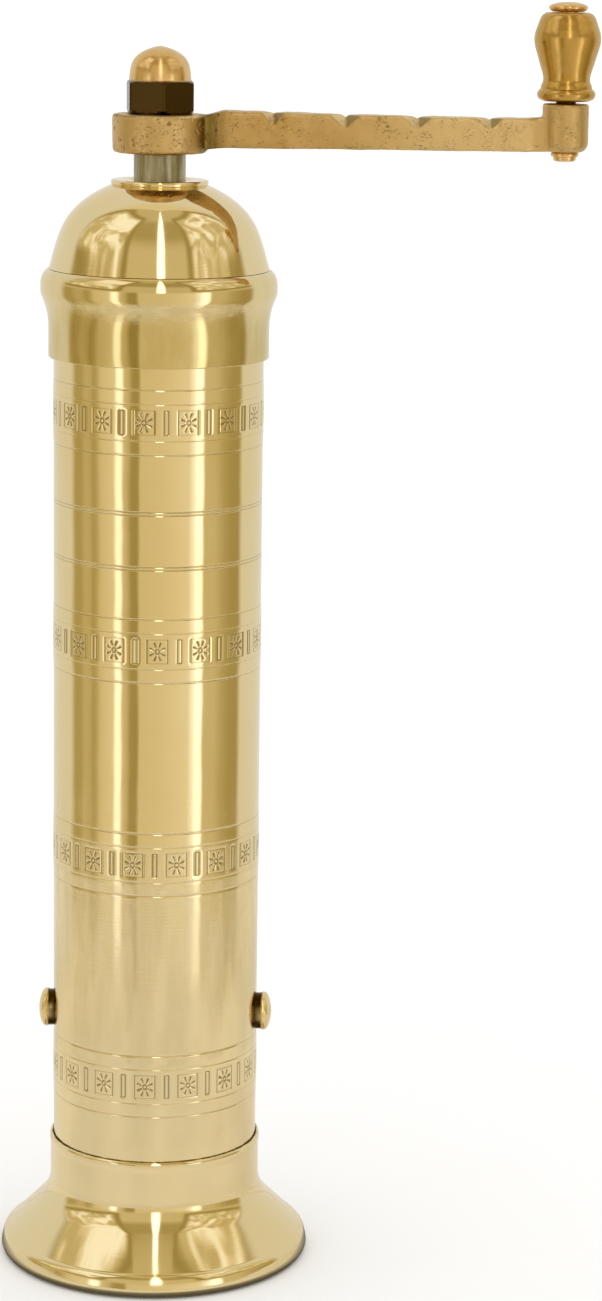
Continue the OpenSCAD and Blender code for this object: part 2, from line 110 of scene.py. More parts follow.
def smooth_line(points, steps=6):
    """Points of a smooth line through all but the first and the last of the points."""
    line = []
    for p0, p1, p2, p3 in zip(points, points[1:], points[2:], points[3:]):
        for k in range(steps):
            t = k / steps
            line.append(tuple(
                0.5 * (2 * b + t * (c - a) + t * t * (2 * a - 5 * b + 4 * c - d)
                       + t**3 * (3 * b - a - 3 * c + d))
                for a, b, c, d in zip(p0, p1, p2, p3)))
    return line


def ease(x, low, high):
    """Smooth step from 0 at low to 1 at high."""
    t = min(1.0, max(0.0, (x - low) / (high - low)))
    return t * t * (3 - 2 * t)


# -------------------- meshes


def skin(bm, rings, loop=False, caps=False):
    """Joins rings of equally many points, in millimetres, into a surface."""
    rows = [[bm.verts.new(Vector(p) * MM) for p in ring] for ring in rings]
    pairs = list(zip(rows, rows[1:]))
    if loop:
        pairs.append((rows[-1], rows[0]))
    for low, high in pairs:
        count = len(low)
        for i in range(count):
            j = (i + 1) % count
            bm.faces.new((low[i], low[j], high[j], high[i]))
    if caps:
        bm.faces.new(reversed(rows[0]))
        bm.faces.new(rows[-1])
    return rows


def turned(bm, outline, centre=(0.0, 0.0), segments=192, closed=True):
    """Turns an outline of (radius, height) points round an upright axis."""
    rings = []
    for r, z in outline:
        rings.append([
            (centre[0] + r * math.cos(2 * math.pi * i / segments),
             centre[1] + r * math.sin(2 * math.pi * i / segments), z)
            for i in range(segments)])
    return skin(bm, rings, loop=closed)


def finish_mesh(bm, name, sharp=32.0):
    """Cleans the mesh, makes its normals point outwards and links it as a new object."""
    bmesh.ops.remove_doubles(bm, verts=bm.verts, dist=0.002 * MM)
    bmesh.ops.dissolve_degenerate(bm, edges=bm.edges, dist=0.001 * MM)
    bmesh.ops.recalc_face_normals(bm, faces=bm.faces)
    mesh = bpy.data.meshes.new(name)
    bm.to_mesh(mesh)
    bm.free()
    mesh.shade_smooth()
    mesh.set_sharp_from_angle(angle=math.radians(sharp))
    piece = bpy.data.objects.new(name, mesh)
    bpy.context.scene.collection.objects.link(piece)
    return piece


def fit_out(piece, body, slot, *nodes):
    """Gives a piece its finish and its body, and hides the CAD nodes that it stands for."""
    piece.data.materials.clear()
    piece.data.materials.append(finish_of(slot))
    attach(piece, body)
    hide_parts(*nodes)


def store(piece, name, shares):
    """Stores a share from 0 to 1 at each point of a piece, for its finish to read."""
    piece.data.attributes.new(name, "FLOAT", "POINT").data.foreach_set("value", shares)


def mark(piece, name, share_at):
    """Stores the share that share_at gives for each point, in millimetres."""
    store(piece, name, [share_at(v.co / MM) for v in piece.data.vertices])


def thread_rings(r, pitch, low, high, depth, segments=72, per_turn=10):
    """Rings of a screw thread between two heights, ending in a short chamfer."""
    rings = []
    steps = int((high - low) / pitch * per_turn)
    for k in range(steps + 1):
        z = low + (high - low) * k / steps
        lead = min(1.0, (high - z) / (0.8 * pitch), (z - low) / (0.4 * pitch) + 0.3)
        ring = []
        for i in range(segments):
            turn = (z / pitch - i / segments) % 1.0
            fall = depth * (1 - abs(2 * turn - 1)) + depth * (1 - lead)
            a = 2 * math.pi * i / segments
            ring.append(((r - fall) * math.cos(a), (r - fall) * math.sin(a), z))
        rings.append(ring)
    return rings


# -------------------- materials


class Wiring:
    """Short ways to add and join the nodes of a material or of the world."""

    def __init__(self, tree):
        tree.nodes.clear()
        self.tree = tree
        self.place = self.add("ShaderNodeTexCoord").outputs

    def add(self, kind, inputs=(), **settings):
        """A new node with its settings, each input set to a value or joined to a socket."""
        node = self.tree.nodes.new(kind)
        for name, value in settings.items():
            setattr(node, name, value)
        for name, value in dict(inputs).items():
            if isinstance(value, bpy.types.NodeSocket):
                self.tree.links.new(value, node.inputs[name])
            else:
                node.inputs[name].default_value = value
        return node

    def maths(self, operation, *values):
        """The result of an operation on values and sockets."""
        inputs = dict(enumerate(values))
        return self.add("ShaderNodeMath", inputs, operation=operation).outputs["Value"]

    def ramp(self, source, low, high, out_low=0.0, out_high=1.0, kind="LINEAR"):
        """Maps a value from one range to another."""
        inputs = {"Value": source, "From Min": low, "From Max": high, "To Min": out_low, "To Max": out_high}
        return self.add("ShaderNodeMapRange", inputs, interpolation_type=kind).outputs["Result"]

    def mix(self, share, first, second):
        """Mixes two colours, each a colour or a socket."""
        first, second = (side if isinstance(side, bpy.types.NodeSocket) else (*side, 1.0)
                         for side in (first, second))
        inputs = {"Factor": share, 6: first, 7: second}
        return self.add("ShaderNodeMix", inputs, data_type="RGBA").outputs[2]


class Shader(Wiring):
    """A Principled material."""

    def __init__(self, name, metallic=1.0):
        self.material = bpy.data.materials.get(name) or bpy.data.materials.new(name)
        self.material.use_nodes = True
        super().__init__(self.material.node_tree)
        self.bsdf = self.add("ShaderNodeBsdfPrincipled", {"Metallic": metallic})
        self.out = self.add("ShaderNodeOutputMaterial", {"Surface": self.bsdf.outputs["BSDF"]})

    def noise(self, scale, detail=3.0, rough=0.5, stretch=(1, 1, 1)):
        """Noise over the object, with scale in features per metre."""
        mapping = self.add("ShaderNodeMapping", {"Vector": self.place["Object"], "Scale": stretch})
        inputs = {"Vector": mapping.outputs["Vector"], "Scale": scale, "Detail": detail, "Roughness": rough}
        return self.add("ShaderNodeTexNoise", inputs).outputs["Fac"]

    def mark(self, name):
        """A share stored on the mesh, 0 where a piece has none."""
        return self.add("ShaderNodeAttribute", attribute_name=name).outputs["Fac"]

    def colour(self, source):
        self.tree.links.new(source, self.bsdf.inputs["Base Color"])

    def rough(self, source):
        self.tree.links.new(source, self.bsdf.inputs["Roughness"])

    def bump(self, source, strength, distance):
        """Small relief, with distance in metres."""
        node = self.add("ShaderNodeBump", {"Height": source, "Strength": strength, "Distance": distance})
        self.tree.links.new(node.outputs["Normal"], self.bsdf.inputs["Normal"])


def polished_brass(finish):
    """Mirror-polished brass, with faint turning lines, tarnish in the stamped marks and a painted shadow
    line at the foot's collar.
    """
    s = Shader("polished_brass_finish")
    cloud = s.ramp(s.noise(34, 4), 0.42, 0.66)
    streak = s.ramp(s.noise(120, 4, 0.6, (1, 1, 0.3)), 0.36, 0.6, 0.35, 1.0)
    # Darker tone on the lid ring's skirt, broken up by streaks
    dull = s.maths("MULTIPLY", s.mark("dull"), streak)
    tone = s.mix(dull, s.mix(cloud, finish.polished, finish.polished_warm), finish.skirt_tone)
    tarnish_and_shade = s.ramp(s.mark("marks_and_shade"), 0.15, 1.0, 0.0, 0.9)
    s.colour(s.mix(tarnish_and_shade, tone, finish.tarnish_and_shade))
    smear = s.ramp(s.noise(60, 5, 0.6), 0.45, 0.75, finish.polish_rough, finish.polish_rough + 0.07)
    s.rough(s.maths("ADD", smear, s.ramp(s.mark("marks_and_shade"), 0.1, 1.0, 0.0, 0.3)))
    lines = s.noise(90, 3, 0.6, (1, 1, 26))
    ripple = s.noise(70, 2, 0.4)
    s.bump(s.maths("ADD", s.maths("MULTIPLY", lines, 0.04), ripple), 0.16, 0.0006)
    return s.material


def cast_brass(finish):
    """Sand-cast brass, worked with file and brush, with dark pits that run in clusters, painted shade in
    the neck and on the far notch slopes, and a painted highlight on the near notch slopes.
    """
    s = Shader("cast_brass_finish")
    cloud = s.ramp(s.noise(120, 5, 0.6), 0.4, 0.75, 0.0, 0.45)
    # Pale where the filing share is high, which also paints a highlight on the notch slopes that face the
    # light
    tone = s.mix(s.maths("MAXIMUM", cloud, s.mark("filed_and_lit")), finish.cast, finish.cast_light)
    speck = s.noise(2100, 4, 0.65, (1, 1, 1.6))
    patch = s.ramp(s.noise(260, 4, 0.65), 0.47, 0.6)
    pits = s.maths("MULTIPLY", s.ramp(speck, 0.55, 0.63), patch)
    deep = s.maths("MAXIMUM", pits, s.ramp(s.mark("marks_and_shade"), 0.2, 1.0))
    # Painted shade: the olive colour darkens the crank's concave neck and the notch slopes that face away
    # from the light
    shaded_tone = s.mix(s.mark("olive"), tone, finish.olive)
    s.colour(s.mix(s.maths("MULTIPLY", deep, 0.75), shaded_tone, finish.pit))
    grain = s.noise(2600, 3, 0.6, (0.5, 0.5, 1))
    s.rough(s.ramp(grain, 0.3, 0.7, finish.cast_rough, finish.cast_rough + 0.12))
    hollow = s.maths("MULTIPLY", deep, -1.6)
    s.bump(s.maths("ADD", s.maths("MULTIPLY", grain, 0.35), hollow), 0.5, 0.00012)
    return s.material


def turned_brass(finish):
    """Brass turned on a lathe and left lightly brushed."""
    s = Shader("turned_brass_finish")
    cloud = s.ramp(s.noise(160, 4, 0.6), 0.38, 0.7)
    tone = s.mix(cloud, finish.turned, finish.turned_dark)
    wear = s.ramp(s.noise(210, 3, 0.6, (1, 1, 0.25)), 0.4, 0.66, 1.0, 0.7)
    worn = s.maths("MULTIPLY", s.mark("handled"), wear)
    tone = s.mix(worn, tone, finish.handled)
    tone = s.mix(s.mark("bright"), tone, finish.polished_warm)
    # Patina, with painted shade and a painted dark reflection where the marks call for them
    s.colour(s.mix(s.ramp(s.mark("marks_and_shade"), 0.1, 1.0), tone, finish.patina_and_shade))
    rings = s.noise(160, 3, 0.65, (1, 1, 22))
    s.rough(s.ramp(rings, 0.3, 0.7, finish.turned_rough, finish.turned_rough + 0.1))
    s.bump(rings, 0.1, 0.0001)
    return s.material


def drawn_steel(finish):
    """Drawn steel rod, a little dull and stained along its length."""
    s = Shader("shaft_steel_finish")
    streak = s.ramp(s.noise(420, 4, 0.65, (1, 1, 0.12)), 0.36, 0.64)
    s.colour(s.mix(streak, finish.steel, finish.steel_stain))
    s.rough(s.ramp(s.noise(900, 3, 0.6, (1, 1, 0.2)), 0.3, 0.7, 0.2, 0.38))
    s.bump(s.noise(1500, 3, 0.6, (1, 1, 0.1)), 0.2, 0.00008)
    return s.material


def bright_steel(finish):
    """Bright plated steel of screws, nuts, ball and spring."""
    s = Shader("bright_steel_finish")
    cloud = s.ramp(s.noise(300, 3), 0.35, 0.7)
    s.colour(s.mix(cloud, finish.bright, finish.steel))
    s.rough(s.ramp(s.noise(1200, 3), 0.3, 0.7, 0.16, 0.3))
    s.bump(s.noise(2400, 2), 0.15, 0.00005)
    return s.material


def burr_steel(finish):
    """Dark hardened steel of the grinding parts, with pale dust in its pores."""
    s = Shader("burr_steel_finish", metallic=0.9)
    dust = s.ramp(s.noise(800, 5, 0.7), 0.55, 0.75)
    s.colour(s.mix(dust, finish.hardened, finish.dust))
    s.rough(s.ramp(s.noise(600, 4), 0.3, 0.7, 0.38, 0.6))
    s.bump(s.noise(1800, 4, 0.7), 0.4, 0.0001)
    return s.material


FINISHES = {
    "polished_brass": polished_brass,
    "cast_brass": cast_brass,
    "turned_brass": turned_brass,
    "shaft_steel": drawn_steel,
    "bright_steel": bright_steel,
    "burr_steel": burr_steel,
}


def finish_of(slot):
    """The material of a slot, made the first time it is asked for."""
    found = bpy.data.materials.get(slot + "_finish")
    return found or FINISHES[slot](bpy.context.scene.mill_finish)


# -------------------- settings


def swatch(name, text, value):
    """A colour that can be set in the panel."""
    return bpy.props.FloatVectorProperty(
        name=name, description=text, default=value, subtype="COLOR", size=3, min=0, max=1)


def number(name, text, value, **limits):
    """A number that can be set in the panel."""
    return bpy.props.FloatProperty(name=name, description=text, default=value, **limits)


class MillSizes(bpy.types.PropertyGroup):
    """Sizes of the decoration and of the small edges, in millimetres."""

    rosettes: bpy.props.IntProperty(
        name="Rosettes", description="Rosettes round each band", default=15, min=8, max=24)
    band_raise: number("Band height", "How far a band stands out", BAND_RAISE, min=0, max=0.4)
    band_span: number("Band span", "Distance between a band's outer lines", 12.8)
    row_span: number("Row span", "Distance between a band's inner lines", 7.2)
    stamp_depth: number("Stamp depth", "Depth of the stamped marks", 0.09, min=0, max=0.3)
    line_depth: number("Line depth", "Depth of the engraved lines", 0.075, min=0, max=0.4)
    stamp_step: number("Stamp mesh", "Spacing of the mesh under the marks", 0.17, min=0.1)
    dome_wall: number("Dome wall", "Sheet thickness of the dome", 0.9, min=0.5, max=1.5)


class MillFinish(bpy.types.PropertyGroup):
    """Colours and gloss of the metals."""

    polished: swatch("Polished brass", "Colour of the polished brass", (0.82, 0.675, 0.385))
    polished_warm: swatch("Warm patches", "Colour of its warmer patches", (0.80, 0.64, 0.33))
    # Darker colour of the lid ring's skirt, fading upwards
    skirt_tone: swatch("Smudges", "Colour of the lid's handled skirt", (0.60, 0.465, 0.185))
    # Tarnish also paints the shadow line where the foot's collar meets the tube
    tarnish_and_shade: swatch("Tarnish", "Colour in the stamped marks", (0.14, 0.085, 0.022))
    cast: swatch("Cast brass", "Colour of the cast crank", (0.54, 0.34, 0.115))
    # Filed brass also gives the painted highlight on the crank's near notch slopes
    cast_light: swatch("Filed brass", "Colour where the crank is filed", (0.77, 0.57, 0.285))
    pit: swatch("Pits", "Colour in the pits of the casting", (0.19, 0.10, 0.03))
    # Olive brass is painted shade on the crank's neck and on its far notch slopes
    olive: swatch("Olive brass", "Colour where the crank is dull", (0.22, 0.15, 0.03))
    # Patina also paints the shade in the screws' gap and at the pin, and the dark reflection on the nut's
    # hexagon
    patina_and_shade: swatch("Patina", "Colour of the dark patina", (0.04, 0.019, 0.001))
    handled: swatch("Handled knob", "Colour of the knob", (0.53, 0.315, 0.07))
    turned: swatch("Turned brass", "Colour of the turned pieces", (0.80, 0.55, 0.26))
    turned_dark: swatch("Handled brass", "Colour where hands have dulled it", (0.70, 0.45, 0.17))
    steel: swatch("Steel", "Colour of the shaft", (0.52, 0.475, 0.33))
    steel_stain: swatch("Steel stain", "Colour of the shaft's stains", (0.22, 0.19, 0.11))
    bright: swatch("Bright steel", "Colour of screws and nuts", (0.66, 0.66, 0.66))
    hardened: swatch("Hardened steel", "Colour of the burrs", (0.10, 0.095, 0.09))
    dust: swatch("Pepper dust", "Colour of the dust on the burrs", (0.22, 0.19, 0.15))
    polish_rough: number("Polish roughness", "Roughness of the polish", 0.045, min=0, max=1)
    cast_rough: number("Cast roughness", "Roughness of the casting", 0.34, min=0, max=1)
    turned_rough: number("Turned roughness", "Roughness of turned brass", 0.16, min=0, max=1)


class MillStudio(bpy.types.PropertyGroup):
    """Floor, lights and camera."""

    floor: swatch("Floor", "Colour of the floor", (0.93, 0.93, 0.92))
    table: swatch("Table", "Colour of the table that the metal mirrors", (0.80, 0.77, 0.725))
    backdrop: swatch("Backdrop", "Colour of the wall that the metal mirrors", (0.83, 0.82, 0.78))
    floor_light: number("Floor light", "Strength of the light on the floor", 1.12)
    table_radius: number("Table radius", "Radius of the mirrored table", 0.5, unit="LENGTH")
    lens: number("Lens", "Focal length in millimetres", 97.8)
    tilt: number("Tilt", "How far the camera looks down", math.radians(11.4), subtype="ANGLE")
    roll: number("Roll", "Roll of the camera", math.radians(0.78), subtype="ANGLE")
    stand: bpy.props.FloatVectorProperty(
        name="Camera place", description="Where the camera stands", size=3, unit="LENGTH",
        default=(0.02924, -0.7045, 0.26965))


# -------------------- body and foot


# The bands from the lowest up: share of the way up to the highest, and turn in degrees
BAND_SHARES = (0.0, 0.342, 0.664, 1.0)
BAND_TURNS = (-3.2, -10.5, 2.4, -5.4)
# The line pairs: the upper one's drop below the highest band, the gap between them and each pair's pitch
PAIR_DROP, PAIR_GAP, PAIR_PITCH = 18.0, 10.9, 0.62


def band_levels():
    """Heights of the four decorated bands."""
    low = FOOT_HIGH[2] + 16.0
    high = RING_LOW[2] - 10.6
    return [low + share * (high - low) for share in BAND_SHARES]


def near_line(distance, half_width):
    """1 on a line's middle, falling smoothly to 0 at its edge."""
    return 1 - ease(abs(distance), 0.25 * half_width, half_width)


def rosette_mark(u, v):
    """Depth share of the stamped marks at (u, v) from a rosette's middle, in millimetres."""
    frame_side = near_line(abs(u) - 2.05, 0.19) if abs(v) < 2.5 else 0.0
    frame_end = 0.55 * near_line(abs(v) - 2.42, 0.17) if abs(u) < 2.1 else 0.0
    x, y = u / 0.86, v
    r = math.hypot(x, y)
    eye = near_line(r - 0.47, 0.2)
    turn = math.degrees(math.atan2(y, x)) - 22.5
    off = (turn + 22.5) % 45 - 22.5
    side = r * math.sin(math.radians(abs(off)))
    width = 0.11 + 0.16 * ease(r, 0.7, 1.7)
    gap = (1 - ease(side, 0.35 * width, width)) * ease(r, 0.55, 0.7) * (1 - ease(r, 1.85, 2.05))
    tip = near_line(r - 1.95, 0.16) * (1 - ease(abs(off), 7, 12)) * 0.7
    return max(frame_side, frame_end, eye, gap, tip)


def bar_mark(u, v):
    """Depth share of the narrow upright frame that stands between two rosettes."""
    side = near_line(abs(u) - 0.42, 0.17) if abs(v) < 2.45 else 0.0
    end = near_line(abs(v) - 2.38, 0.16) if abs(u) < 0.5 else 0.0
    return max(side, end)


class TubeFace:
    """Radius of the tube's outer face at any angle and height, and how deep its marks are."""

    def __init__(self, sizes):
        self.sizes = sizes
        self.bands = band_levels()
        self.r = TUBE_HIGH[0] - sizes.band_raise
        self.pitch = 2 * math.pi * self.r / sizes.rosettes
        pair_high = self.bands[3] - PAIR_DROP
        self.pairs = [z + side * PAIR_PITCH / 2
                      for z in (pair_high - PAIR_GAP, pair_high) for side in (-1, 1)]
        self.edges = [z + side * sizes.band_span / 2 for z in self.bands for side in (-1, 1)]
        self.inner = [z + side * sizes.row_span / 2 for z in self.bands for side in (-1, 1)]

    def turn(self, z):
        """Angle by which the mesh and the marks are turned at a height, in degrees."""
        stops = list(zip(self.bands, BAND_TURNS))
        half = self.sizes.row_span / 2
        for (z0, a0), (z1, a1) in zip(stops, stops[1:]):
            if z < z1 - half:
                return a0 + (a1 - a0) * ease(z, z0 + half, z1 - half)
        return stops[-1][1]

    def mark(self, u, z):
        """Depth share of the rosettes and bars, where u runs round the tube from a rosette."""
        for level in self.bands:
            v = z - level
            if abs(v) < 2.8:
                if abs(u) < 2.9:
                    return rosette_mark(u, v)
                return bar_mark(abs(u) - self.pitch / 2, v)
        return 0.0

    def lines(self, z):
        """Depth share of the engraved lines."""
        deepest = max(near_line(z - line, 0.2) for line in self.pairs)
        deepest = max([deepest] + [0.7 * near_line(z - line, 0.26) for line in self.edges])
        return max([deepest] + [0.55 * near_line(z - line, 0.22) for line in self.inner])

    def swell(self, z):
        """Share of the full height that the bands stand out at a height."""
        half = self.sizes.band_span / 2
        return max(1 - ease(abs(z - level), half - 3.0, half + 1.2) for level in self.bands)

    def radius(self, u, z):
        """Radius of the face, u round the tube from a rosette's middle."""
        marks = self.sizes.stamp_depth * self.mark(u, z)
        lines = self.sizes.line_depth * self.lines(z)
        return self.r + self.sizes.band_raise * self.swell(z) - marks - lines

    def rows(self):
        """Heights of the mesh rows: close together on the marks and lines."""
        heights = {TUBE_LOW[2], TUBE_HIGH[2]}
        for line in self.pairs + self.edges + self.inner:
            heights.update(line + k * 0.065 for k in range(-4, 5))
        step = self.sizes.stamp_step
        count = int(2.7 / step)
        for level in self.bands:
            heights.update(level + k * step for k in range(-count, count + 1))
            heights.update(level + side * rise for side in (-1, 1)
                           for rise in (3.0, 4.4, 5.0, 5.6, 6.0, 7.0))
        low = TUBE_LOW[2]
        while low < TUBE_HIGH[2]:
            heights.add(low)
            low += 3.0
        ordered = sorted(heights)
        kept = ordered[:1]
        for z in ordered[1:-1]:
            if z - kept[-1] > 0.03:
                kept.append(z)
        return kept + [ordered[-1]]

    def columns(self):
        """Places across one rosette's share of the tube, from its middle."""
        step = self.sizes.stamp_step
        half = self.pitch / 2
        inner = [k * step for k in range(int(2.35 / step) + 1)]
        outer = [half - k * step for k in range(int(0.7 / step) + 1)]
        between = [inner[-1] + (outer[-1] - inner[-1]) * k / 3 for k in (1, 2)]
        right = inner + between + outer[::-1]
        left = [-u for u in right[1:-1]]
        return sorted(left + right)


def build_tube(sizes):
    """Body tube with its stamped bands and engraved lines as real relief."""
    face = TubeFace(sizes)
    places = face.columns()
    bore = TUBE_HIGH[0] - sizes.band_raise - 1.0
    bm = bmesh.new()
    deep = bm.verts.layers.float.new("marks_and_shade")
    rings, depths = [], []
    rim = 0.15
    for z in face.rows():
        turn = face.turn(z)
        trim = rim * max(0.0, 1 - (TUBE_HIGH[2] - z) / rim, 1 - (z - TUBE_LOW[2]) / rim)
        ring, depth = [], []
        lines = face.lines(z)
        for tile in range(sizes.rosettes):
            for u in places:
                a = math.radians(-90 + turn + 360 * tile / sizes.rosettes) + u / face.r
                r = face.radius(u, z) - trim
                ring.append((r * math.cos(a), r * math.sin(a), z))
                depth.append(max(face.mark(u, z), 0.5 * lines))
        rings.append(ring)
        depths.append(depth)
    for ring in (rings[-1], rings[0]):
        z = ring[0][2]
        inner = [(x * bore / math.hypot(x, y), y * bore / math.hypot(x, y), z) for x, y, _ in ring]
        rings.append(inner)
        depths.append([0.3] * len(inner))
    rows = skin(bm, rings, loop=True)
    for row, depth in zip(rows, depths):
        for vertex, value in zip(row, depth):
            vertex[deep] = value
    return finish_mesh(bm, "tube_shell", sharp=55)


def foot_outline():
    """Outline of the spun foot: rim, straight flare, sweep and collar."""
    foot_r = FOOT_HIGH[0]
    collar_r = TUBE_R + 0.65
    top = FOOT_HIGH[2]
    rim_h, rim_w, sweep = 3.9, 2.7, 8.4
    shoulder = (foot_r - 1.75, rim_h + 1)
    sweep_end = sum(shoulder) - collar_r - sweep * (1 - math.cos(math.pi / 4))
    inner_sum = sum(shoulder) - math.sqrt(2)
    rim_in = foot_r - rim_w
    rim = smooth_line([(foot_r - 0.1, 1.0), (foot_r, 1.5), (foot_r - 0.2, 2.6),
                       (foot_r - 0.55, rim_h - 0.1), (foot_r - 1.05, rim_h + 0.55), shoulder,
                       (foot_r - 3.0, rim_h + 2.25)], 5)
    return (arc(foot_r - 1.5, 1.5, 1.5, -90, -5, 10)
            + rim + [shoulder]
            + arc(collar_r + sweep, sweep_end + sweep * math.sin(math.pi / 4), sweep, 225, 180, 20)
            + [(collar_r, top - 2.6)]
            + smooth_line([(collar_r, top - 3.2), (collar_r, top - 2.2), (collar_r + 0.13, top - 1.3),
                           (collar_r + 0.1, top - 0.5), (collar_r - 0.2, top - 0.02),
                           (collar_r - 0.6, top)], 4)
            + [(collar_r - 0.3, top), (collar_r - 0.5, top - 0.1)]
            + [(collar_r - 0.6, top - 0.6), (collar_r - 0.6, inner_sum - collar_r + 0.6)]
            + [(rim_in, inner_sum - rim_in), (rim_in, 0.3), (rim_in + 0.3, 0)])


def build_foot():
    """Foot with a painted shadow line where its collar meets the tube."""
    bm = bmesh.new()
    turned(bm, foot_outline(), segments=288)
    piece = finish_mesh(bm, "foot_shell")
    top = FOOT_HIGH[2]
    edge_r = TUBE_R + 0.35
    # Painted shadow along the collar's inner lip, where it meets the tube
    mark(piece, "marks_and_shade", lambda p: 0.9 if p.z > top - 0.8 and p.xy.length < edge_r else 0.0)
    return piece


# Slope of the line through both side screws against the crank's line, seen from above
SCREW_LEAN = math.tan(math.radians(1.0))


def build_side_screw(node):
    """Screw with a straight edge drawn dark with patina and painted shade where it stands off the tube, and
    a domed face, along its own axis.
    """
    low, high = span(node)
    side = 1 if high[0] > 0 else -1
    r = (high[2] - low[2]) / 2
    centre_z = (high[2] + low[2]) / 2
    head_out = 3.1
    outline = [(0.0, 16.4), (2.0, 16.4), (2.0, 20.55), (r - 0.2, 20.6), (r - 0.2, TUBE_R + 0.9)]
    outline += [(r - 0.12, TUBE_R + 1.15), (r, TUBE_R + 1.3)]
    for i in range(1, 16):
        u = i / 16
        outline.append((r * (1 - u**2.6) ** 0.66, TUBE_R + 1.4 + u * (head_out - 1.4)))
    outline.append((0.0, TUBE_R + head_out))
    bm = bmesh.new()
    turned(bm, outline, segments=96, closed=False)
    lean = math.atan2(-SCREW_LEAN * side, side)
    bm.transform(Matrix.Translation((0, 0, centre_z * MM))
                 @ Matrix.Rotation(lean, 4, "Z") @ Matrix.Rotation(math.pi / 2, 4, "Y"))
    piece = finish_mesh(bm, node + "_turned")
    # Patina and painted shade in the gap between the screw's edge and the tube
    mark(piece, "marks_and_shade", lambda p: 1.0 - ease(p.xy.length, TUBE_R + 1.1, TUBE_R + 1.35))
    return piece


# -------------------- lid


def lid_ring_outline():
    """Skirt, sweep and bead of the lid's ring, and the ledge inside that rests on the tube's end."""
    ledge_r = TUBE_HIGH[0] - 1.3
    bore = TUBE_R + 0.1
    skirt_r = bore + 0.95
    bead_r = RING_HIGH[0]
    low, top = RING_LOW[2], RING_HIGH[2]
    sweep = 14.5
    sweep_turn = math.degrees(math.acos(1 - (bead_r - skirt_r - 0.35) / sweep))
    sweep_low = low + 6
    tube_top = TUBE_HIGH[2]
    sweep_top = sweep_low + sweep * math.sin(math.radians(sweep_turn))
    bead = smooth_line([(bead_r - 0.7, sweep_top - 0.85), (bead_r - 0.35, sweep_top),
                        (bead_r - 0.06, top - 4.75), (bead_r, top - 3.7), (bead_r - 0.06, top - 2.5),
                        (bead_r - 0.38, top - 1.35), (bead_r - 0.95, top - 0.5),
                        (bead_r - 1.5, top - 0.1), (bead_r - 2.2, top)], 5)[1:]
    return ([(bore, low + 0.1), (bore + 0.1, low), (skirt_r - 0.25, low)]
            + arc(skirt_r - 0.25, low + 0.25, 0.25, -90, 0, 4)
            + [(skirt_r, low + 2), (skirt_r, low + 4.5)]
            + arc(skirt_r + sweep, sweep_low, -sweep, 0, -sweep_turn, 18)
            + bead + [(bead_r - 1.5, top - 0.1)]
            + [(DOME_HIGH[0] + 0.06, top - 0.14), (DOME_HIGH[0] - 0.1, top - 0.18)]
            + [(ledge_r, top - 0.18), (ledge_r, tube_top), (bore, tube_top)])


def dome_outline(sizes):
    """Outer and inner line of the spun dome, up to its flat land round the bush."""
    steps = 40
    boss_r = BUSH_HIGH[0]
    hole_r = 7.05
    base_r = DOME_HIGH[0]
    low, top = DOME_LOW[2], DOME_HIGH[2]
    height = top - low
    outer = []
    for i in range(steps + 1):
        u = i / steps
        outer.append((boss_r + (base_r - boss_r) * crown(u, 0.36, 4.2), low + u * height))
    inner = []
    for i in range(steps, -1, -1):
        u = i / steps
        r = hole_r + (base_r - sizes.dome_wall - hole_r) * crown(u, 0.3, 4)
        inner.append((r, low + u * (height - sizes.dome_wall)))
    return [(base_r - 0.1, low - 0.1)] + outer + [(hole_r, top)] + inner


def bush_outline():
    """Turned bush: flat boss with a round edge on top, and the barrel inside the dome."""
    boss_r, top, low = BUSH_HIGH[0], BUSH_HIGH[2], BUSH_LOW[2]
    land = DOME_HIGH[2]
    bore = SHAFT_HIGH[0] + 0.08
    return ([(bore, low + 0.3), (bore + 0.3, low), (6.8, low), (7.0, low + 0.2), (7.0, land)]
            + [(boss_r - 0.35, land - 0.25), (boss_r - 0.12, land + 0.12)]
            + arc(boss_r - 0.5, top - 0.5, 0.5, 0, 90, 8)
            + [(bore + 1.5, top), (bore + 1.2, top - 0.12), (bore + 0.5, top - 0.35), (bore, top - 0.8)])


# -------------------- crank


